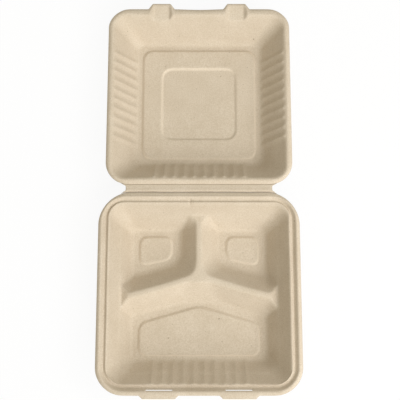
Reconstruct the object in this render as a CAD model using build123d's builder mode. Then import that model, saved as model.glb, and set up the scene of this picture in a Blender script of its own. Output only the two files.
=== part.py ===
from build123d import *
import os
from math import asin, atan, atan2, cos, degrees, hypot, pi, radians, sin, tan

# One pressed sheet, the same thickness all over
wall = 0.8
cut_overrun = 2.0

# Base tray: the crease to the hinge strip runs along X at y = 0, the front is at -Y
base_half = 114.0
base_length = 227.0
base_corner = 28.0
crease_height = 39.0
lip_height = 41.0
channel_height = 39.0
bead_height = 43.0

# Rim of the base, from the outer edge inward
skirt_run = 3.4
lip_run = 1.0
lip_tuck = 0.5
channel_run = 3.4
bead_side = 1.6
bead_run = 2.5
bead_reach = 6.0

# Inside of the base: sloping walls and a Y-shaped divider lower than the rim
floor_half = 78.0
floor_rear = 36.0
floor_front = 188.0
base_round = 6.6
divider_height = 24.0
divider_half = 3.3
divider_flank = 18.0
junction_back = 94.5
arm_fall_share = 0.264

# Raised panels on the three floors
panel_rise = 1.2
panel_corner = 6.0
panel_taper = 45.0
small_panel_inner = 31.5
small_panel_outer = 68.5
small_panel_rear = 45.0
small_panel_length = 26.0
small_panel_fall_share = 0.2
main_panel_half = 67.5
main_panel_front = 181.0
main_panel_shoulder = 145.5
main_panel_peak = 126.0

# Latch at the front: two slits in the channel and two bulges of the lip
latch_centre = 44.0
slit_length = 29.0
slit_gap = 1.2
slit_inset = 6.2
bulge_root = 43.0
bulge_tip = 36.0
bulge_proud = 3.6

# Flutes: narrow ridges down a wall, with a groove behind each
flute_count = 10
flute_pitch = 11.4
flute_half = 3.6
flute_rise = 1.1
flute_root = 0.3
flute_start = 1.5
groove_start = 3.5

# Hinge strip between the two creases
strip_run = 9.2
strip_half = 85.0
strip_waist = 82.5
crease_gap = 0.1

# Lid: its own crease runs along X at y = 0, the rim edge is at z = 0
lid_half = 107.4
lid_length = 214.5
lid_corner = 21.5
lid_skirt = 3.2
lid_rim = 7.0
lid_crest = 1.8
lid_depth = 38.0
lid_side_run = 27.0
lid_rear_run = 27.0
lid_front_run = 24.5
lid_round = 6.6
lid_panel_inset = 6.6
lid_panel_corner = 9.0
lid_panel_rise = 1.8
recess_half = 44.0
recess_corner = 11.0
recess_depth = 1.2

# Two tongues on the front of the lid, each with a ramp pressed down into the rim
tongue_centre = 44.6
tongue_root = 31.0
tongue_tip = 21.5
tongue_proud = 6.9
tongue_top = 1.2
tongue_under = 14.0
ramp_width = 18.0
ramp_inset = 14.0
ramp_fall_inset = 12.3
ramp_drop = 5.5
ramp_flare = 38.0
ramp_height = 9.0
ramp_beyond = 15.0

# Sizes that follow from those above
channel_start = skirt_run + lip_run
channel_low = channel_start + channel_run
rim_run = channel_low + bead_side + bead_run
mouth_half = base_half - rim_run
mouth_front = base_length - rim_run
base_depth = bead_height - wall
side_slope = (mouth_half - floor_half) / base_depth
rear_slope = (floor_rear - rim_run) / base_depth
front_slope = (mouth_front - floor_front) / base_depth
flank_slope = divider_flank / (divider_height - wall)
panel_skin_share = tan(radians(90 - panel_taper) / 2)

lid_floor = lid_crest - lid_depth
lid_mouth_half = lid_half - lid_rim
lid_mouth_front = lid_length - lid_rim
lid_side_slope = lid_side_run / lid_depth
lid_rear_slope = lid_rear_run / lid_depth
lid_front_slope = lid_front_run / lid_depth
lid_floor_front = lid_mouth_front - lid_front_run
lid_panel_half = lid_mouth_half - lid_side_run - lid_panel_inset
lid_panel_rear = lid_rim + lid_rear_run + lid_panel_inset
lid_panel_front = lid_floor_front - lid_panel_inset
tongue_reach = lid_length + tongue_proud
ramp_start = lid_length - ramp_inset
ramp_foot = lid_length - ramp_fall_inset
lid_tilt = degrees(asin((crease_height + lid_floor - wall) / lid_floor_front))
front_reach = base_length + bulge_proud


def hollow(corners, slopes, neutral, top, low, rounding, floored):
    """Space with sloping walls: corners at the neutral height, and a slope for the side after each corner."""
    with BuildPart(mode=Mode.PRIVATE) as space:
        with BuildSketch(Plane.XY.offset(low)):
            with BuildLine():
                Polyline(*corners, close=True)
            make_face()
        extrude(amount=top - low)
        for slope in sorted(set(slopes)):
            sides = []
            for index, own in enumerate(slopes):
                if own == slope:
                    start, end = Vector(corners[index]), Vector(corners[(index + 1) % len(corners)])
                    middle = (start + end) / 2 + Vector(0, 0, (top + low) / 2)
                    sides.append(space.faces().sort_by_distance(middle)[0])
            draft(sides, Plane.XY.offset(neutral), -degrees(atan(slope)))
        rounded = space.edges().filter_by(Plane.XY, reverse=True)
        if floored:
            rounded += space.faces().sort_by(Axis.Z)[0].edges()
        fillet(rounded, rounding)
    return space.part


def base_form(skin):
    """Space inside the base; with a skin it is the outside of the sheet."""
    top, waist, low = bead_height, divider_height - skin, wall - skin
    above = top if skin else top + cut_overrun
    rounding = base_round + skin

    def half(z):
        return mouth_half - side_slope * (top - z) + skin * hypot(1, side_slope)

    def rear(z):
        return -rim_run - rear_slope * (top - z) + skin * hypot(1, rear_slope)

    def front(z):
        return -mouth_front + front_slope * (top - z) - skin * hypot(1, front_slope)

    def beside(z):
        return divider_half + flank_slope * (divider_height - z) - skin * hypot(1, flank_slope)

    def arm(across, aside):
        return -junction_back - arm_fall_share * across + aside * hypot(1, arm_fall_share)

    side, near = half(waist), beside(waist)
    basin = ((-half(top), front(top)), (half(top), front(top)), (half(top), rear(top)), (-half(top), rear(top)))
    pocket = ((side, arm(side, near)), (side, rear(waist)), (near, rear(waist)), (near, arm(near, near)))
    bay = (
        (-side, front(waist)),
        (side, front(waist)),
        (side, arm(side, -near)),
        (0, arm(0, -near)),
        (-side, arm(side, -near)),
    )
    small = (
        (small_panel_inner, -small_panel_rear),
        (small_panel_inner, -small_panel_rear - small_panel_length),
        (
            small_panel_outer,
            -small_panel_rear - small_panel_length - small_panel_fall_share * (small_panel_outer - small_panel_inner),
        ),
        (small_panel_outer, -small_panel_rear),
    )
    large = (
        (-main_panel_half, -main_panel_front),
        (main_panel_half, -main_panel_front),
        (main_panel_half, -main_panel_shoulder),
        (0, -main_panel_peak),
        (-main_panel_half, -main_panel_shoulder),
    )
    basin_slopes = (front_slope, side_slope, rear_slope, side_slope)
    pocket_slopes = (side_slope, rear_slope, flank_slope, flank_slope)
    bay_slopes = (front_slope, side_slope, flank_slope, flank_slope, side_slope)
    with BuildPart(mode=Mode.PRIVATE) as form:
        add(hollow(basin, basin_slopes, top, above, waist, rounding, False))
        right = hollow(pocket, pocket_slopes, waist, waist, low, rounding, True)
        add(right)
        mirror(right, about=Plane.YZ)
        add(hollow(bay, bay_slopes, waist, waist, low, rounding, True))
        for outline in (small, tuple((-x, y) for x, y in reversed(small)), large):
            with BuildSketch(Plane.XY.offset(low)) as panel:
                with BuildLine():
                    Polyline(*outline, close=True)
                make_face()
                fillet(panel.vertices(), panel_corner)
                if skin:
                    offset(amount=-skin * panel_skin_share, mode=Mode.REPLACE)
            extrude(amount=panel_rise, taper=panel_taper, mode=Mode.SUBTRACT)
    return form.part


def lid_form(skin):
    """Space inside the lid; with a skin it is the outside of the sheet."""
    top, low = lid_crest, lid_floor - skin
    above = top if skin else top + cut_overrun
    half = lid_mouth_half + skin * hypot(1, lid_side_slope)
    rear = lid_rim - skin * hypot(1, lid_rear_slope)
    front = lid_mouth_front + skin * hypot(1, lid_front_slope)
    mouth = ((-half, rear), (half, rear), (half, front), (-half, front))
    slopes = (lid_rear_slope, lid_side_slope, lid_front_slope, lid_side_slope)
    panel_skin = skin * panel_skin_share
    panel_length = lid_panel_front - lid_panel_rear - 2 * panel_skin
    hollow_side = 2 * (recess_half + panel_skin)
    with BuildPart(mode=Mode.PRIVATE) as form:
        add(hollow(mouth, slopes, top, above, low, lid_round + skin, True))
        with BuildSketch(Plane.XY.offset(low)):
            with Locations((0, (lid_panel_rear + lid_panel_front) / 2)):
                RectangleRounded(2 * (lid_panel_half - panel_skin), panel_length, lid_panel_corner)
        extrude(amount=lid_panel_rise, taper=panel_taper, mode=Mode.SUBTRACT)
        with BuildSketch(Plane.XY.offset(low + lid_panel_rise)):
            with Locations((0, (lid_panel_rear + lid_panel_front) / 2)):
                RectangleRounded(hollow_side, hollow_side, recess_corner)
        extrude(amount=-recess_depth, taper=panel_taper)
    return form.part


def flutes(mouth, inward, slope, drop, rounding, back):
    """Ridges down a wall from its mouth, set back by the sheet when they cut the grooves behind it."""
    along = Vector(inward.X * slope, inward.Y * slope, -1).normalized()
    across = Vector(-inward.Y, inward.X, 0)
    rise = along.cross(across)
    start = groove_start if back else flute_start
    foot = rounding * tan((pi / 2 - atan(slope)) / 2) + start
    with BuildPart(mode=Mode.PRIVATE) as ridges:
        with BuildSketch(Plane(origin=mouth + along * start - rise * back, x_dir=across, z_dir=along)):
            with GridLocations(flute_pitch, flute_pitch, flute_count, 1):
                Polygon((-flute_half, -flute_root), (flute_half, -flute_root), (0, flute_rise), align=None)
        extrude(amount=drop * hypot(1, slope) - foot)
    return ridges.part


def rim(half, length, middle, corner, section):
    """A strip of sheet carried round a rounded outline; the section runs inward from the edge."""
    with BuildSketch(mode=Mode.PRIVATE) as outline:
        with Locations((0, middle)):
            RectangleRounded(2 * half, length, corner)
    path = outline.face().outer_wire()
    heading = path % 0
    with BuildPart(mode=Mode.PRIVATE) as strip:
        with BuildSketch(Plane(origin=path @ 0, x_dir=Vector(0, 0, 1).cross(heading), z_dir=heading)):
            with BuildLine():
                Polyline(*section)
                offset(amount=wall, side=Side.RIGHT, kind=Kind.INTERSECTION)
            make_face()
        sweep(path=path)
    return strip.part


def lip(drop):
    """Sloping outer edge of the base rim, with the two bulges at the front."""
    with BuildPart(mode=Mode.PRIVATE) as edge:
        for z, inset in ((crease_height, 0), (lip_height, skirt_run)):
            half, front, reach = base_half - inset, inset - base_length, inset - front_reach
            bulges = []
            for centre in (-latch_centre, latch_centre):
                bulges += [
                    (centre - bulge_root / 2, front),
                    (centre - bulge_tip / 2, reach),
                    (centre + bulge_tip / 2, reach),
                    (centre + bulge_root / 2, front),
                ]
            with BuildSketch(Plane.XY.offset(z - drop)) as outline:
                with BuildLine():
                    Polyline((-half, -inset), (-half, front), *bulges, (half, front), (half, -inset), close=True)
                make_face()
                corners = outline.vertices().filter_by(lambda v: abs(v.X) > latch_centre + bulge_root)
                fillet(corners, base_corner - inset)
        loft(ruled=True)
        if not drop:
            extrude(edge.faces().sort_by(Axis.Z)[0], amount=wall)
    return edge.part


def ramp(skin):
    """Space pressed down into the lid rim above each tongue; with a skin it is the sheet around it."""
    pitch = atan2(ramp_drop, tongue_reach - ramp_foot)
    plane = Plane(origin=(0, tongue_reach, 0), x_dir=(1, 0, 0), z_dir=(0, -sin(pitch), cos(pitch)))
    behind = (tongue_reach - ramp_start) / cos(pitch)
    grow = skin * tan(radians(90 - ramp_flare) / 2)
    places = [(side * tongue_centre, (ramp_beyond - behind) / 2) for side in (-1, 1)]
    with BuildPart(mode=Mode.PRIVATE) as space:
        with BuildSketch(plane.offset(-skin)):
            with Locations(*places):
                Rectangle(ramp_width + 2 * grow, ramp_beyond + behind + 2 * grow)
        extrude(amount=ramp_height + skin, taper=-ramp_flare)
    return space.part


# Base tray
bead_section = (
    (channel_start - lip_tuck, lip_height),
    (channel_start, lip_height),
    (channel_low, channel_height),
    (channel_low + bead_side, bead_height),
    (rim_run + bead_reach, bead_height),
)
base_mouth = Vector(0, -mouth_front, bead_height)
with BuildPart() as base_tray:
    add(base_form(wall))
    add(rim(base_half, base_length, -base_length / 2, base_corner, bead_section))
    add(base_form(0), mode=Mode.SUBTRACT)
    with BuildPart(mode=Mode.PRIVATE) as skirt:
        add(lip(0))
        add(lip(wall), mode=Mode.SUBTRACT)
        with BuildSketch(Plane.XY.offset(crease_height - wall - cut_overrun)):
            with Locations((0, -base_length / 2)):
                RectangleRounded(
                    2 * (base_half - channel_start), base_length - 2 * channel_start, base_corner - channel_start
                )
        extrude(amount=bead_height, mode=Mode.SUBTRACT)
    add(skirt.part)
    add(flutes(base_mouth, Vector(0, 1, 0), front_slope, base_depth, base_round, 0))
    add(flutes(base_mouth, Vector(0, 1, 0), front_slope, base_depth, base_round, wall), mode=Mode.SUBTRACT)
    with Locations(*[(side * latch_centre, slit_inset - base_length, lip_height) for side in (-1, 1)]):
        Box(slit_length, slit_gap, 2 * (lip_height - channel_height + wall + cut_overrun), mode=Mode.SUBTRACT)

# Hinge strip
with BuildPart() as hinge_strip:
    with BuildSketch(Plane.XY.offset(crease_height)):
        with BuildLine():
            near, far = crease_gap, strip_run - crease_gap
            Line((-strip_half, near), (strip_half, near))
            ThreePointArc((strip_half, near), (strip_waist, strip_run / 2), (strip_half, far))
            Line((strip_half, far), (-strip_half, far))
            ThreePointArc((-strip_half, far), (-strip_waist, strip_run / 2), (-strip_half, near))
        make_face()
    extrude(amount=-wall)

# Lid, pressed flat and then set on the hinge strip
lid_section = ((0, 0), (lid_skirt, lid_crest), (lid_rim + bead_reach, lid_crest))
flute_middle = (lid_panel_rear + lid_panel_front) / 2
lid_walls = (
    (Vector(-lid_mouth_half, flute_middle, lid_crest), Vector(1, 0, 0), lid_side_slope),
    (Vector(lid_mouth_half, flute_middle, lid_crest), Vector(-1, 0, 0), lid_side_slope),
    (Vector(0, lid_rim, lid_crest), Vector(0, 1, 0), lid_rear_slope),
)
with BuildPart() as pressed_lid:
    add(lid_form(wall))
    add(rim(lid_half, lid_length, lid_length / 2, lid_corner, lid_section))
    add(lid_form(0), mode=Mode.SUBTRACT)
    with BuildPart(mode=Mode.PRIVATE) as tongues:
        add(ramp(wall))
        with BuildSketch(Plane.XY.offset(-tongue_under)):
            for centre in (-tongue_centre, tongue_centre):
                with BuildLine():
                    Polyline(
                        (centre - tongue_root / 2, lid_floor_front),
                        (centre + tongue_root / 2, lid_floor_front),
                        (centre + tongue_root / 2, lid_length),
                        (centre + tongue_tip / 2, tongue_reach),
                        (centre - tongue_tip / 2, tongue_reach),
                        (centre - tongue_root / 2, lid_length),
                        close=True,
                    )
                make_face()
        extrude(amount=tongue_top + tongue_under, mode=Mode.INTERSECT)
        add(lid_form(0), mode=Mode.SUBTRACT)
    add(tongues.part)
    add(ramp(0), mode=Mode.SUBTRACT)
    for mouth, inward, slope in lid_walls:
        add(flutes(mouth, inward, slope, lid_depth, lid_round, 0))
        add(flutes(mouth, inward, slope, lid_depth, lid_round, wall), mode=Mode.SUBTRACT)

with BuildPart() as lid:
    with Locations(Location((0, strip_run, crease_height), (-lid_tilt, 0, 0))):
        add(pressed_lid.part)

os.makedirs("parts", exist_ok=True)
for piece, name in ((base_tray, "base_tray"), (hinge_strip, "hinge_strip"), (lid, "lid")):
    piece.part.label = name
    export_step(piece.part, f"parts/{name}.step")
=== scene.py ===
from math import atan2, cos, hypot, pi, radians, sin

import bmesh
import bpy
import numpy as np
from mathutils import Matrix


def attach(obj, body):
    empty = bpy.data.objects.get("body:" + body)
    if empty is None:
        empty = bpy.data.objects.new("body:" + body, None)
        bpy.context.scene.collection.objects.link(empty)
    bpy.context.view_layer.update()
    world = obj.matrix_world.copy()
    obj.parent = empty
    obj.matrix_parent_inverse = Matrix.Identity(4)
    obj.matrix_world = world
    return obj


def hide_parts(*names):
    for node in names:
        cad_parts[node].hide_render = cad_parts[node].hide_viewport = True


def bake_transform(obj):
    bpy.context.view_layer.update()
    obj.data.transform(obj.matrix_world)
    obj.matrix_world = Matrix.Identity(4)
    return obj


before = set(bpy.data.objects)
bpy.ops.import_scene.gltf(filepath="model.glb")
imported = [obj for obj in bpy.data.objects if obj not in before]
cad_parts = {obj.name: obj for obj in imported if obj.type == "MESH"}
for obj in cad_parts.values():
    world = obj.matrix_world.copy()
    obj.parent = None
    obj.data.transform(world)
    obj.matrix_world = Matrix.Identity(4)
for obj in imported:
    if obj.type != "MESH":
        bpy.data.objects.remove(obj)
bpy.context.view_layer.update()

# Base tray: the lower half of the container, one wet-pressed sheet of plant fibre.
# A Y-shaped divider, three raised floor panels and the rim are pressed into it in one stroke.
# It is shaped here as the sheet's upper face, in millimetres, and thickened downwards.
MM = 0.001
SHEET = 0.8
BASE_HALF, BASE_LENGTH = 114.0, 227.0
BASE_CORNERS = {"far": (38.0, 18.0), "near": (30.0, 18.0)}
BASE_RINGS, BASE_MOUTH_INSET = 88, 12.0

# Sections of the rim: inset from the outer edge, and height
BASE_RIM = (
    (11.7, 40.3), (11.3, 40.1), (10.9, 39.7), (10.5, 39.1), (10.1, 38.5), (9.6, 38.0), (9.1, 37.8),
    (8.5, 37.9), (7.8, 38.4), (7.0, 39.3), (6.0, 40.6), (5.3, 41.4), (4.6, 41.95), (3.8, 42.1),
    (2.9, 41.8), (1.8, 40.9), (0.8, 39.4), (0.3, 38.0), (0.0, 36.8),
)
FRONT_RIM = (
    (2.9, 42.7), (3.8, 42.3), (4.6, 41.4), (5.3, 40.3), (6.0, 39.3), (7.0, 38.15), (7.8, 37.4), (8.5, 36.9),
    (9.1, 36.7), (9.6, 36.7), (10.1, 36.9), (10.5, 37.25), (10.9, 37.85), (11.3, 38.5), (11.7, 38.8),
)
REAR_SKIRT = ((0.0, 37.7), (0.8, 39.6), (4.6, 41.5))

# How the rim changes along its straight front and rear
FRONT_LIP_FALL, REAR_SHALLOWER = 0.3, 0.45
RIM_STRAIGHT, RIM_TURNED = 76, 108
REAR_WIDER, REAR_WIDER_RUN, REAR_WIDER_FROM = 1.1, 5.2, 0.7
FRONT_WIDER, FRONT_WIDER_RUN = 1.0, 6
FRONT_BEAD_OUT, FRONT_BEAD_RUN, FRONT_BEAD_FROM = 0.9, (5.6, 10.4), 0.75
BEAD_TOP, BEAD_ROUND, FRONT_BEAD_DROP = 40.3, 1.6, 1.5

# Walls and their flutes; mouth and foot are half width, rear, front and corner radius
BASE_TOP, BASE_FLOOR, FLOOR_ROUND = 41.4, 0.8, 5.0
BASE_MOUTH, BASE_FOOT = (101.9, -13.4, -217.6, 17.0), (78.0, -36.0, -188.0, 8.0)
FLUTES, FLUTE_STEP, FLUTE_SHARPNESS = 10, 10, 1.5
FRONT_FLUTE_RISE, FLUTE_HEAD, FLUTE_FOOT = 1.2, (38.0, 41.2), (-3.0, 1.5)

# Floor panels: corners counter-clockwise, a rounding for each side, and the rise over a narrow edge
SMALL_PANEL = [(31.63, -45.0), (31.63, -71.0), (68.43, -78.5), (68.43, -45.0)]
LARGE_PANEL = [(-68.43, -181.59), (68.43, -181.59), (68.43, -145.5), (0.0, -126.0), (-68.43, -145.5)]
SMALL_PANEL_ROUND, LARGE_PANEL_ROUND = (10.0,) * 4, (10.0, 10.0, 10.0, 4.0, 10.0)
PANEL_RISE, PANEL_EDGE = 2.3, 1.8

# Divider: a stem from the rear wall, and two bowed arms that run out to the side walls
DIVIDER_TOP, DIVIDER_HALF, DIVIDER_EDGE, DIVIDER_FILLET = 24.5, 2.9, 1.8, 3.0
DIVIDER_DIP, DIP_RUN, STEM_KEEPS, STEM_REACH = 4.5, (2, 20), 0.85, (18, 30)
STEM_SLOPE, ARM_REAR_SLOPE, ARM_FRONT_SLOPE, FLANK_FILLET = 1.29, 1.12, 1.45, 16.0
ARM_MEET, ARM_FALL, ARM_BOW, ARM_TURN = -95.2, 0.375, -0.00105, 9.0
FLARE_LEAST, FLARE_GAIN, FLARE_RUN = 7.0, 17.0, (4, 18)

# Latch at the front edge, nick in the rear bead, and the crease
LATCH_X = 44.0
BULGE_ROOT, BULGE_TIP, BULGE_PROUD, BULGE_RUN = 21.5, 18.0, 3.6, 4.6
SLIT_HALF, SLIT_FROM, SLIT_TO = 14.5, 4.5, 5.9
NICK_X, NICK_WIDTH, NICK_DEPTH, NICK_RUN, NICK_INSET = -9.8, 0.9, 1.6, (33, 40), 6
CREASE_RUN, CREASE_HALF, CREASE_END = 1.5, 80, 86
CREASE_WAVES = ((0.16, 13.0, 0.7), (0.12, 5.1, 0.0), (0.09, 2.7, 1.9))


def soft_max(a, b, reach):
    """Larger of two heights, with the corner between them rounded as pressed fibre rounds it."""
    return np.maximum(a, b) + np.maximum(reach - np.abs(a - b), 0) ** 2 / (4 * reach)


def soft_min(a, b, reach):
    """Smaller of two heights, with the corner between them rounded."""
    return -soft_max(-a, -b, reach)


def ease(value, low, high):
    """Smooth step from 0 at low to 1 at high."""
    t = np.clip((value - low) / (high - low), 0, 1)
    return t * t * (3 - 2 * t)


def fade(value, full, none):
    """Smooth step from 1 at full to 0 at none."""
    return ease(-value, -none, -full)


def flat_grid(name, columns, rows, size):
    """Flat grid mesh, with the two coordinates of its points."""
    bm = bmesh.new()
    bmesh.ops.create_grid(bm, x_segments=columns, y_segments=rows, size=size)
    mesh = bpy.data.meshes.new(name)
    bm.to_mesh(mesh)
    bm.free()
    points = np.empty(3 * len(mesh.vertices))
    mesh.vertices.foreach_get("co", points)
    across, along = points.reshape(-1, 3)[:, :2].T
    return mesh, across, along


def ring_sheet(name, half, length, middle, corners, rings, mouth_inset, rim):
    """Grid whose outer rows follow a rounded outline and whose middle stays square; sizes in millimetres.

    corners gives the outer and the mouth radius for the two corners at each end. Beside the mesh come
    its points, their inset from the edge, infinite inside the mouth, and their column and row.
    """
    even_share, tiny = 0.62, 1e-9
    count = rings + len(rim)
    mesh, across, along = flat_grid(name, 2 * count, 2 * count, count)
    column, row = np.rint(across), np.rint(along)
    ring = np.maximum(np.abs(column), np.abs(row))
    insets = np.array([mouth_inset] + [place for place, _ in rim])
    outer = ring > rings
    inset = insets[np.where(outer, ring - rings, 0).astype(int)]
    spread = np.where(outer, 1, ring / rings)
    half_width = (half - inset) * spread
    half_length = (length / 2 - inset) * spread
    outer_radius, mouth_radius = (
        np.where(row > 0, far, near) for far, near in zip(corners["far"], corners["near"])
    )
    radius = (outer_radius + (mouth_radius - outer_radius) * inset / mouth_inset) * spread**3
    step_x, step_y = (half - mouth_inset) / rings, (length / 2 - mouth_inset) / rings
    sideways = np.abs(column) >= np.abs(row)
    point = np.zeros((len(ring), 2))
    for axis, side, own, other, size, width, step in (
        (0, sideways, column, row, half_width, half_length, step_y),
        (1, ~sideways, row, column, half_length, half_width, step_x),
    ):
        run = width - radius * (1 - pi / 4)
        start = even_share * ring
        late = np.maximum(np.abs(other) - start, 0) / np.maximum(ring - start, tiny)
        way = step * np.abs(other) - (step * ring - run) * late**2
        bend = np.clip(way - (width - radius), 0, None) / np.maximum(radius, tiny)
        out = size - radius * (1 - np.cos(bend))
        aside = np.where(bend > 0, width - radius + radius * np.sin(bend), way)
        point[side, axis] = (np.sign(own) * out)[side]
        point[side, 1 - axis] = (np.sign(other) * aside)[side]
    return mesh, point[:, 0], point[:, 1] + middle, np.where(outer, inset, np.inf), column, row


def wall_height(x, y, top, low, mouth, foot):
    """Height of the sloping wall above each point, found by halving."""
    below, above, halvings, least_radius = 60.0, 30.0, 34, 2.0
    under, over = np.full(x.shape, low - below), np.full(x.shape, top + above)
    for _ in range(halvings):
        z = (under + over) / 2
        half, rear, front, radius = (f + (m - f) * (z - low) / (top - low) for m, f in zip(mouth, foot))
        radius = np.maximum(radius, least_radius)
        out_x = np.abs(x) - half + radius
        out_y = np.abs(y - (rear + front) / 2) - np.abs(rear - front) / 2 + radius
        beyond = np.hypot(np.maximum(out_x, 0), np.maximum(out_y, 0))
        gap = beyond + np.minimum(np.maximum(out_x, out_y), 0) - radius
        under, over = np.where(gap < 0, under, z), np.where(gap < 0, z, over)
    return (under + over) / 2


def panel(x, y, corners, rounding, fall):
    """Share of a panel's rise at each point."""
    far_inside = -1e3
    gap = np.full(x.shape, far_inside)
    for (x0, y0), (x1, y1), reach in zip(corners, corners[1:] + corners[:1], rounding):
        size = np.hypot(x1 - x0, y1 - y0)
        gap = soft_max(gap, ((x - x0) * (y1 - y0) - (y - y0) * (x1 - x0)) / size, reach)
    return np.clip(0.5 - gap / fall, 0, 1)


def flute(line, shift):
    """Ridge profile along a wall, by grid line: narrow arrises with shallow hollows between them."""
    count = (line - shift) / FLUTE_STEP + FLUTES / 2
    near = np.abs(count - np.floor(count) - 0.5) * 2
    body = np.clip(1 - near, 0, 1) ** FLUTE_SHARPNESS
    return np.where((count > 0) & (count < FLUTES), body, 0)


def tab(x, middle, root, tip):
    """1 across the tips of two tabs, falling to 0 at their roots."""
    return np.clip((root - np.abs(np.abs(x) - middle)) / (root - tip), 0, 1)


def unevenness(x, y):
    """Slow waviness that drying leaves in the sheet."""
    return (
        0.16 * np.sin(x / 23 + 1.3) * np.sin(y / 31 + 0.4)
        + 0.10 * np.sin(x / 11 - y / 17 + 2.1)
        + 0.06 * np.sin(x / 7.3 + y / 9.1)
    )


def crease_wander(x):
    """How far the cracked fold leaves its straight line."""
    return sum(size * np.sin(x / length + phase) for size, length, phase in CREASE_WAVES)


def shape_sheet(mesh, x, y, z, panels=()):
    """Move the points, and keep for the material how far each one lies on a panel's edge slope, where a
    paler tint is painted on as a highlight.
    """
    mesh.vertices.foreach_set("co", (np.stack((x, y, z), 1) * MM).ravel())
    if panels:
        # Painted highlight: how far each point lies on a panel's edge slope, which the material tints paler
        # as if lit
        highlight_share = sum(4 * share * (1 - share) for share in panels)
        mesh.attributes.new("painted_edge_highlight", "FLOAT", "POINT").data.foreach_set("value", highlight_share)


mesh, x, y, inset, column, row = ring_sheet(
    "base_tray_sheet", BASE_HALF, BASE_LENGTH, -BASE_LENGTH / 2,
    BASE_CORNERS, BASE_RINGS, BASE_MOUTH_INSET, BASE_RIM,
)
in_rim = ~np.isinf(inset)
endways = np.abs(row) >= np.abs(column)
along_rear, along_front = endways & (row > 0), endways & (row < 0)
straight = fade(np.abs(x), RIM_STRAIGHT, RIM_TURNED)
mid_rear, mid_front = along_rear * straight, along_front * straight
outness = np.abs(row) / BASE_RINGS
rear_share = np.where(in_rim, ease(inset, 0, REAR_WIDER_RUN), ease(outness, REAR_WIDER_FROM, 1))
bead_share = np.where(in_rim, ease(inset, *FRONT_BEAD_RUN), ease(outness, FRONT_BEAD_FROM, 1))
y -= REAR_WIDER * rear_share * mid_rear
y -= FRONT_BEAD_OUT * bead_share * mid_front
y -= FRONT_WIDER * fade(inset, 0, FRONT_WIDER_RUN) * mid_front

walls = wall_height(x, y, BASE_TOP, BASE_FLOOR, BASE_MOUTH, BASE_FOOT)
out = np.hypot(x, ARM_TURN) - ARM_TURN
arm_line = ARM_MEET - ARM_FALL * out - ARM_BOW * out**2
arm_off = (y - arm_line) / np.hypot(1, ARM_FALL + 2 * ARM_BOW * out)
arm_fall = (np.abs(arm_off) - DIVIDER_HALF) * np.where(arm_off > 0, ARM_REAR_SLOPE, ARM_FRONT_SLOPE)
stem_fall = (np.where(y > arm_line, np.abs(x), np.hypot(x, y - arm_line)) - DIVIDER_HALF) * STEM_SLOPE
flank = DIVIDER_TOP - soft_min(arm_fall, stem_fall, FLANK_FILLET)
ridges = FRONT_FLUTE_RISE * flute(column, 0) * along_front
walls += ridges * fade(walls, *FLUTE_HEAD) * ease(walls, *FLUTE_FOOT)
flared = soft_max(walls, flank, FLARE_LEAST + FLARE_GAIN * ease(flank, *FLARE_RUN))
at_stem = fade(np.abs(x), *STEM_REACH) * (y > arm_line)
crown = DIVIDER_TOP - DIVIDER_DIP * ease(walls, *DIP_RUN) * (1 - STEM_KEEPS * at_stem)
height = soft_max(walls, soft_min(flared, crown, DIVIDER_EDGE), DIVIDER_FILLET)
height = soft_max(height, BASE_FLOOR, FLOOR_ROUND)
panels = [
    panel(x, y, corners, rounding, PANEL_EDGE)
    for corners, rounding in (
        (SMALL_PANEL, SMALL_PANEL_ROUND),
        ([(-a, b) for a, b in reversed(SMALL_PANEL)], SMALL_PANEL_ROUND),
        (LARGE_PANEL, LARGE_PANEL_ROUND),
    )
]
for share in panels:
    height += PANEL_RISE * share

height = soft_min(height, BEAD_TOP - FRONT_BEAD_DROP * mid_front, BEAD_ROUND)
for place, level in BASE_RIM:
    height[inset == place] = level
height += (np.interp(inset, *zip(*FRONT_RIM)) - height) * mid_front * in_rim
lip_inset, lip_level = FRONT_RIM[0]
front_lip = lip_level - FRONT_LIP_FALL * (lip_inset - np.minimum(inset, lip_inset))
height += (front_lip - height) * mid_front * (inset < lip_inset)
height += REAR_SHALLOWER * (BASE_TOP - height) * mid_rear * in_rim
skirt_run = REAR_SKIRT[-1][0]
height += (np.interp(inset, *zip(*REAR_SKIRT)) - height) * mid_rear * (inset < skirt_run)
height += unevenness(x, y) * ~in_rim
nick = NICK_DEPTH * np.exp(-(((x - NICK_X) / NICK_WIDTH) ** 2)) * ease(walls, *NICK_RUN)
height -= nick * along_rear * (inset > NICK_INSET)
y -= BULGE_PROUD * tab(x, LATCH_X, BULGE_ROOT, BULGE_TIP) * fade(inset, 0, BULGE_RUN) * along_front
at_crease = fade(inset, 0, CREASE_RUN) * fade(np.abs(x), CREASE_HALF, CREASE_END) * along_rear
y += crease_wander(x) * at_crease
shape_sheet(mesh, x, y, height, panels)


def in_slit(face):
    """Whether a face lies in one of the two slits that take the tongues."""
    middle = face.calc_center_median()
    from_front = middle.y / MM + BASE_LENGTH
    return abs(abs(middle.x / MM) - LATCH_X) < SLIT_HALF and SLIT_FROM < from_front < SLIT_TO


bm = bmesh.new()
bm.from_mesh(mesh)
bmesh.ops.delete(bm, geom=[face for face in bm.faces if in_slit(face)], context="FACES")
bm.to_mesh(mesh)
bm.free()
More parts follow.
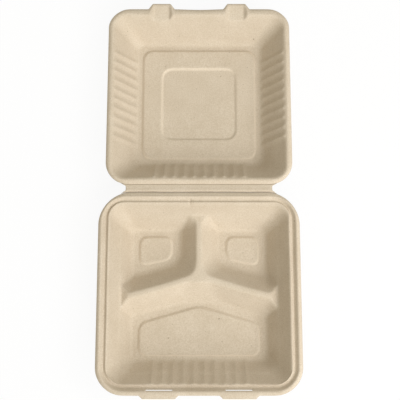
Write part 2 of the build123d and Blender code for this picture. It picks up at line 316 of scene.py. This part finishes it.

# Gloss and colours of the fibre, with a paler tint painted on the panels' edge slopes as a highlight, its
# grain as a bump, and scale and detail of the noise behind each mark
FIBRE_GLOSS, GRAIN_BUMP, GRAIN_DEPTH = 0.2, 0.35, 0.0003
FIBRE_DARK, FIBRE_PALE = (0.600, 0.523, 0.424, 1), (0.650, 0.573, 0.474, 1)
GRAIN_SHADE, STREAK_SHADE = (0.44, 0.35, 0.235, 1), (0.36, 0.27, 0.17, 1)
# The last colour here is a painted highlight for the panels' edge slopes
SPECK_SHADE, EDGE_HIGHLIGHT = (0.20, 0.145, 0.09, 1), (0.80, 0.71, 0.585, 1)
CLOUD_NOISE, GRAIN_NOISE, SPECK_NOISE = (38.0, 2.0), (820.0, 3.0), (460.0, 0.0)
STREAK_SCALE, STREAK_DETAIL, STREAK_STRETCH, STREAK_LEAN = 900.0, 1.0, (1.0, 0.22, 0.6), (0.3, 0.2)
STREAK_TURNS = ((0.6, 1.0), (2.1, 1.13), (3.9, 0.91))

# Two values that go in, and the two that come out for them
CLOUD_RANGE, GRAIN_RANGE = (0.3, 0.7, 0.0, 1.0), (0.36, 0.64, 0.42, 0.0)
STREAK_RANGE, SPECK_RANGE = (0.66, 0.76, 0.0, 0.16), (0.85, 0.88, 0.0, 0.6)
EDGE_HIGHLIGHT_RANGE, ROUGHNESS_RANGE = (0.0, 1.0, 0.0, 0.42), (0.3, 0.7, 0.95, 0.80)

fibre = bpy.data.node_groups.new("pressed_fibre", "ShaderNodeTree")
fibre.interface.new_socket("Color", in_out="OUTPUT", socket_type="NodeSocketColor")
fibre.interface.new_socket("Roughness", in_out="OUTPUT", socket_type="NodeSocketFloat")
fibre.interface.new_socket("Height", in_out="OUTPUT", socket_type="NodeSocketFloat")
made = fibre.nodes.new("NodeGroupOutput")
coordinates = fibre.nodes.new("ShaderNodeTexCoord")


def fibre_noise(scale, detail, turn=None):
    """Noise over the sheet, drawn out into streaks where a turn is given."""
    source = coordinates.outputs["Object"]
    if turn is not None:
        turned = fibre.nodes.new("ShaderNodeMapping")
        turned.inputs["Rotation"].default_value = (*STREAK_LEAN, turn)
        turned.inputs["Scale"].default_value = STREAK_STRETCH
        fibre.links.new(source, turned.inputs["Vector"])
        source = turned.outputs["Vector"]
    noise = fibre.nodes.new("ShaderNodeTexNoise")
    noise.inputs["Scale"].default_value = scale
    noise.inputs["Detail"].default_value = detail
    fibre.links.new(source, noise.inputs["Vector"])
    return noise.outputs["Fac"]


def fibre_range(value, *numbers):
    """A value moved from one range to another, and held inside it."""
    span = fibre.nodes.new("ShaderNodeMapRange")
    for socket, number in zip(("From Min", "From Max", "To Min", "To Max"), numbers):
        span.inputs[socket].default_value = number
    fibre.links.new(value, span.inputs["Value"])
    return span.outputs["Result"]


def fibre_mix(share, first, second):
    """Mix of two colours, each one given or made by a node."""
    blend = fibre.nodes.new("ShaderNodeMix")
    blend.data_type = "RGBA"
    fibre.links.new(share, blend.inputs["Factor"])
    for socket, source in ((blend.inputs["A"], first), (blend.inputs["B"], second)):
        if isinstance(source, tuple):
            socket.default_value = source
        else:
            fibre.links.new(source, socket)
    return blend.outputs["Result"]


cloud = fibre_noise(*CLOUD_NOISE)
grain = fibre_noise(*GRAIN_NOISE)
tone = fibre_mix(fibre_range(cloud, *CLOUD_RANGE), FIBRE_DARK, FIBRE_PALE)
tone = fibre_mix(fibre_range(grain, *GRAIN_RANGE), tone, GRAIN_SHADE)
for turn, finer in STREAK_TURNS:
    streak = fibre_noise(STREAK_SCALE * finer, STREAK_DETAIL, turn)
    tone = fibre_mix(fibre_range(streak, *STREAK_RANGE), tone, STREAK_SHADE)
speck = fibre_noise(*SPECK_NOISE)
tone = fibre_mix(fibre_range(speck, *SPECK_RANGE), tone, SPECK_SHADE)
# Painted highlight: the panels' edge slopes are tinted paler, as light would brighten them
edge = fibre.nodes.new("ShaderNodeAttribute")
edge.attribute_name = "painted_edge_highlight"
tone = fibre_mix(fibre_range(edge.outputs["Fac"], *EDGE_HIGHLIGHT_RANGE), tone, EDGE_HIGHLIGHT)
fibre.links.new(tone, made.inputs["Color"])
fibre.links.new(fibre_range(grain, *ROUGHNESS_RANGE), made.inputs["Roughness"])
fibre.links.new(grain, made.inputs["Height"])


def fibre_material(name):
    """Matt fibre finish, with the grain as a slight bump."""
    material = bpy.data.materials.new(name)
    material.use_nodes = True
    tree = material.node_tree
    shader = tree.nodes["Principled BSDF"]
    shader.inputs["Specular IOR Level"].default_value = FIBRE_GLOSS
    group = tree.nodes.new("ShaderNodeGroup")
    group.node_tree = fibre
    bump = tree.nodes.new("ShaderNodeBump")
    bump.inputs["Strength"].default_value = GRAIN_BUMP
    bump.inputs["Distance"].default_value = GRAIN_DEPTH
    tree.links.new(group.outputs["Height"], bump.inputs["Height"])
    tree.links.new(bump.outputs["Normal"], shader.inputs["Normal"])
    tree.links.new(group.outputs["Color"], shader.inputs["Base Color"])
    tree.links.new(group.outputs["Roughness"], shader.inputs["Roughness"])
    return material


def sheet_piece(name, mesh, finish):
    """Smooth piece made from a shaped face, with the sheet's thickness below it."""
    mesh.polygons.foreach_set("use_smooth", np.ones(len(mesh.polygons), bool))
    piece = bpy.data.objects.new(name, mesh)
    bpy.context.scene.collection.objects.link(piece)
    thick = piece.modifiers.new("sheet", "SOLIDIFY")
    thick.thickness, thick.offset = SHEET * MM, -1
    piece.data.materials.append(fibre_material(finish))
    return piece


base = sheet_piece("base_tray_sheet", mesh, "base_fibre")
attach(base, "base")
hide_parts("base_tray")

# Hinge strip: the narrow flat band of the same sheet between the two pressed creases.
# It is two halves; the fold by the base is the one that cracks.
STRIP_RUN, STRIP_LEVEL = 9.2, 39.0
STRIP_WAIST, STRIP_FLARE = 83.4, 5.2
STRIP_ROWS, STRIP_COLUMNS = 12, 150
FOLD_RUN, FOLD_DROP, FOLD_RISE = 1.4, 1.0, 1.8
STRIP_SAG, LID_FOLD_FALL, LID_FOLD_START = 0.5, 0.7, 8.0
LID_HALF, LID_NEAR_CORNER = 107.2, 27.0


def corner_draw(x, half, radius):
    """How far a rounded corner has drawn the edge back at each point along it."""
    return radius - np.sqrt(radius**2 - np.maximum(np.abs(x) - half + radius, 0) ** 2)


for name, start, end, fold, bodies in (
    ("hinge_strip_near", 0.0, STRIP_RUN / 2, (0.0, FOLD_RUN), ("base", "strip")),
    ("hinge_strip_far", STRIP_RUN / 2, STRIP_RUN, (STRIP_RUN - FOLD_RUN, STRIP_RUN), ("strip", "lid")),
):
    mesh, across, along = flat_grid(name, STRIP_COLUMNS, STRIP_ROWS, 1)
    y = start + (end - start) * (along + 1) / 2
    z = STRIP_LEVEL - FOLD_DROP + FOLD_RISE * ease(y, 0.0, FOLD_RUN)
    z -= STRIP_SAG * ease(y, FOLD_RUN, LID_FOLD_START) + LID_FOLD_FALL * ease(y, LID_FOLD_START, STRIP_RUN)
    x = across * (STRIP_WAIST + STRIP_FLARE * (2 * y / STRIP_RUN - 1) ** 4)
    to_base = corner_draw(x, BASE_HALF, BASE_CORNERS["far"][0]) * (1 - y / STRIP_RUN)
    to_lid = corner_draw(x, LID_HALF, LID_NEAR_CORNER) * y / STRIP_RUN
    y = y - to_base + to_lid + crease_wander(x) * fade(y, 0, CREASE_RUN)
    shape_sheet(mesh, x, y, z)
    strip = sheet_piece(name, mesh, name + "_fibre")
    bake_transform(strip)
    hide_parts("hinge_strip")

# Lid: the upper half, pressed in the same stroke and lying open behind the strip.
# Its floor carries a raised panel with a sunk square, three of its walls are fluted,
# and two tongues on its front edge tuck into the slits of the base.
LID_LENGTH = 214.5
LID_CORNERS = {"far": (21.5, 15.9), "near": (LID_NEAR_CORNER, 16.5)}
LID_RINGS, LID_MOUTH_INSET = 89, 5.6
LID_RIM = (
    (5.0, 1.8), (4.3, 1.78), (3.6, 1.65), (2.9, 1.4), (2.2, 1.0), (1.5, 0.45),
    (0.8, -0.4), (0.3, -1.3), (0.0, -2.2),
)
LID_TOP, LID_TOP_ROUND, LID_FLOOR, LID_FLOOR_ROUND = 1.8, 3.0, -36.2, 6.0
LID_MOUTH, LID_FOOT = (100.4, 7.0, 207.5, 15.5), (75.2, 33.2, 186.0, 8.0)
SIDE_FLUTE_RISE, SIDE_FLUTE_SHIFT, NEAR_FLUTE_RISE = 2.1, 2, 2.7
LID_FLUTE_HEAD, LID_FLUTE_FOOT = (-2.0, 1.3), (LID_FLOOR - 3.5, LID_FLOOR + 0.5)
LID_PANEL, LID_PANEL_ROUND, LID_PANEL_RISE = (66.91, 40.44, 176.9), (13.0,) * 4, 2.2
SUNK_SQUARE, SUNK_ROUND, SUNK_DEPTH = (44.04, 64.42, 153.6), (14.0,) * 4, 2.3
HINGE_EDGE, HINGE_EDGE_SLOPE, HINGE_EDGE_RUN = -0.5, 0.6, 3
HINGE_EDGE_HALF, HINGE_EDGE_END = 82, 98
LID_FRONT_WIDER, LID_FRONT_RUN, LID_FRONT_HALF, LID_FRONT_END = 2.5, 6, 80, 104
TONGUE_X, TONGUE_ROOT, TONGUE_TIP, TONGUE_PROUD, TONGUE_RUN = 44.6, 15.5, 10.75, 6.9, 7
FRONT_HOLLOW, FRONT_HOLLOW_HALF = 0.9, 34
RAMP_HALF, RAMP_FALL, RAMP_SIDE, RAMP_REACH = 9.0, 0.286, 1.28, 221.4
RAMP_FROM, RAMP_MARGIN, RAMP_FILLET, RAMP_EDGE = 198, 3, 1.2, 0.8
LID_WAVE_SHIFT = 40
LID_TILT = radians(0.626)


def rectangle(half, near, far):
    """Corners of a square panel, counter-clockwise."""
    return [(-half, near), (half, near), (half, far), (-half, far)]


mesh, x, y, inset, column, row = ring_sheet(
    "lid_sheet", LID_HALF, LID_LENGTH, LID_LENGTH / 2, LID_CORNERS, LID_RINGS, LID_MOUTH_INSET, LID_RIM
)
in_rim = ~np.isinf(inset)
endways = np.abs(row) >= np.abs(column)
at_hinge, at_front = endways & in_rim & (row < 0), endways & in_rim & (row > 0)
walls = wall_height(x, y, LID_TOP, LID_FLOOR, LID_MOUTH, LID_FOOT)
side_ridges = SIDE_FLUTE_RISE * flute(row, SIDE_FLUTE_SHIFT)
near_ridges = NEAR_FLUTE_RISE * flute(column, 0) * (row < 0)
ridges = np.where(np.abs(column) >= np.abs(row), side_ridges, near_ridges)
walls += ridges * fade(walls, *LID_FLUTE_HEAD) * ease(walls, *LID_FLUTE_FOOT)
height = soft_max(walls, LID_FLOOR, LID_FLOOR_ROUND)
raised = panel(x, y, rectangle(*LID_PANEL), LID_PANEL_ROUND, PANEL_EDGE)
sunken = panel(x, y, rectangle(*SUNK_SQUARE), SUNK_ROUND, PANEL_EDGE)
height += LID_PANEL_RISE * raised
height -= SUNK_DEPTH * sunken
height = soft_min(height, LID_TOP, LID_TOP_ROUND)
for place, level in LID_RIM:
    height[inset == place] = level
flat_edge = np.maximum(height, HINGE_EDGE + HINGE_EDGE_SLOPE * np.minimum(inset, HINGE_EDGE_RUN))
flattened = fade(np.abs(x), HINGE_EDGE_HALF, HINGE_EDGE_END) * at_hinge * (inset < HINGE_EDGE_RUN)
height += (flat_edge - height) * flattened
height += unevenness(x + LID_WAVE_SHIFT, y) * ~in_rim
front_middle = fade(np.abs(x), LID_FRONT_HALF, LID_FRONT_END) * at_front
near_front = fade(inset, 0, TONGUE_RUN) * at_front
y += LID_FRONT_WIDER * fade(inset, 0, LID_FRONT_RUN) * front_middle
y += TONGUE_PROUD * tab(x, TONGUE_X, TONGUE_ROOT, TONGUE_TIP) * near_front
y -= FRONT_HOLLOW * fade(np.abs(x), 0, FRONT_HOLLOW_HALF) * near_front
aside = np.abs(np.abs(x) - TONGUE_X)
plate = (y - RAMP_REACH) * RAMP_FALL
ramp = soft_max(plate, plate + (aside - RAMP_HALF) * RAMP_SIDE, RAMP_FILLET)
at_tongue = (y > RAMP_FROM) & (aside < TONGUE_ROOT + RAMP_MARGIN)
height = np.where(at_tongue, soft_min(height, ramp, RAMP_EDGE), height)
open_y = STRIP_RUN + y * cos(LID_TILT) + height * sin(LID_TILT)
open_z = STRIP_LEVEL - y * sin(LID_TILT) + height * cos(LID_TILT)
shape_sheet(mesh, x, open_y, open_z, (raised, sunken))
lid = sheet_piece("lid_sheet", mesh, "lid_fibre")
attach(lid, "lid")
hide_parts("lid")

# Stage: a pale floor under a white backdrop, and a broad key light from the near right.
# A weaker sun and a small lamp stand on the right too.
# The camera is high up, just past the base's front edge, and looks down at the crease.
FLOOR_SIZE, FLOOR_DROP, FLOOR_WHITE_SHARE = 4, 0.0005, 0.92
FLOOR_COLOUR, FLOOR_ROUGHNESS = (0.86, 0.86, 0.86, 1), 0.9
ROOM_COLOUR, ROOM_STRENGTH = (1.0, 0.95, 0.80, 1), 0.515
BACKDROP_COLOUR, BACKDROP_STRENGTH = (1, 1, 1, 1), 1.0
LAMPS = (
    ("key", "SUN", (0.30, -0.74, 0.60), 1.74, radians(45)),
    ("right", "SUN", (0.55, 0.0, 0.835), 0.45, radians(35)),
    ("near_right", "AREA", (0.48, -0.3, 0.55), 1.7, 0.3),
)


def seen_rays(tree):
    """1 for a ray that shows the background: from the camera, in a gloss or through something clear."""
    rays = tree.nodes.new("ShaderNodeLightPath")
    seen = rays.outputs["Is Camera Ray"]
    for kind in ("Is Glossy Ray", "Is Transmission Ray"):
        either = tree.nodes.new("ShaderNodeMath")
        either.operation = "MAXIMUM"
        tree.links.new(seen, either.inputs[0])
        tree.links.new(rays.outputs[kind], either.inputs[1])
        seen = either.outputs[0]
    return seen


def mix_surface(tree, share, first, second, output):
    """Surface of a floor or world: the first shader, and the second by its share."""
    mixed = tree.nodes.new("ShaderNodeMixShader")
    tree.links.new(share, mixed.inputs[0])
    tree.links.new(first.outputs[0], mixed.inputs[1])
    tree.links.new(second.outputs[0], mixed.inputs[2])
    tree.links.new(mixed.outputs[0], tree.nodes[output].inputs["Surface"])


floor = bpy.data.objects.new("floor", flat_grid("floor", 1, 1, FLOOR_SIZE)[0])
floor.location.z = -FLOOR_DROP
bpy.context.scene.collection.objects.link(floor)
white = bpy.data.materials.new("floor_white")
white.use_nodes = True
tree = white.node_tree
paint = tree.nodes["Principled BSDF"]
paint.inputs["Base Color"].default_value = FLOOR_COLOUR
paint.inputs["Roughness"].default_value = FLOOR_ROUGHNESS
glow = tree.nodes.new("ShaderNodeEmission")
glow.inputs["Strength"].default_value = BACKDROP_STRENGTH
lessened = tree.nodes.new("ShaderNodeMath")
lessened.operation = "MULTIPLY"
lessened.inputs[1].default_value = FLOOR_WHITE_SHARE
tree.links.new(seen_rays(tree), lessened.inputs[0])
mix_surface(tree, lessened.outputs[0], paint, glow, "Material Output")
floor.data.materials.append(white)

world = bpy.data.worlds.new("studio")
bpy.context.scene.world = world
world.use_nodes = True
tree = world.node_tree
room = tree.nodes["Background"]
room.inputs["Color"].default_value = ROOM_COLOUR
room.inputs["Strength"].default_value = ROOM_STRENGTH
backdrop = tree.nodes.new("ShaderNodeBackground")
backdrop.inputs["Color"].default_value = BACKDROP_COLOUR
backdrop.inputs["Strength"].default_value = BACKDROP_STRENGTH
mix_surface(tree, seen_rays(tree), room, backdrop, "World Output")

for name, kind, towards, energy, spread in LAMPS:
    lamp = bpy.data.lights.new(name, kind)
    lamp.energy = energy
    if kind == "SUN":
        lamp.angle = spread
    else:
        lamp.shape, lamp.size = "DISK", spread
    holder = bpy.data.objects.new(name, lamp)
    holder.location = towards
    bpy.context.scene.collection.objects.link(holder)
    flat = hypot(towards[0], towards[1])
    holder.rotation_euler = (atan2(flat, towards[2]), 0, atan2(towards[0], -towards[1]))

view = bpy.data.cameras.new("camera")
view.lens, view.sensor_width = 90, 36
view.shift_x = 0.0025
view.clip_start, view.clip_end = 0.05, 20
camera = bpy.data.objects.new("camera", view)
camera.location = (0, -0.2746, 1.1437)
camera.rotation_euler = (radians(13.5), 0, 0)
bpy.context.scene.collection.objects.link(camera)
bpy.context.scene.camera = camera
bpy.context.scene.view_settings.view_transform = "Standard"
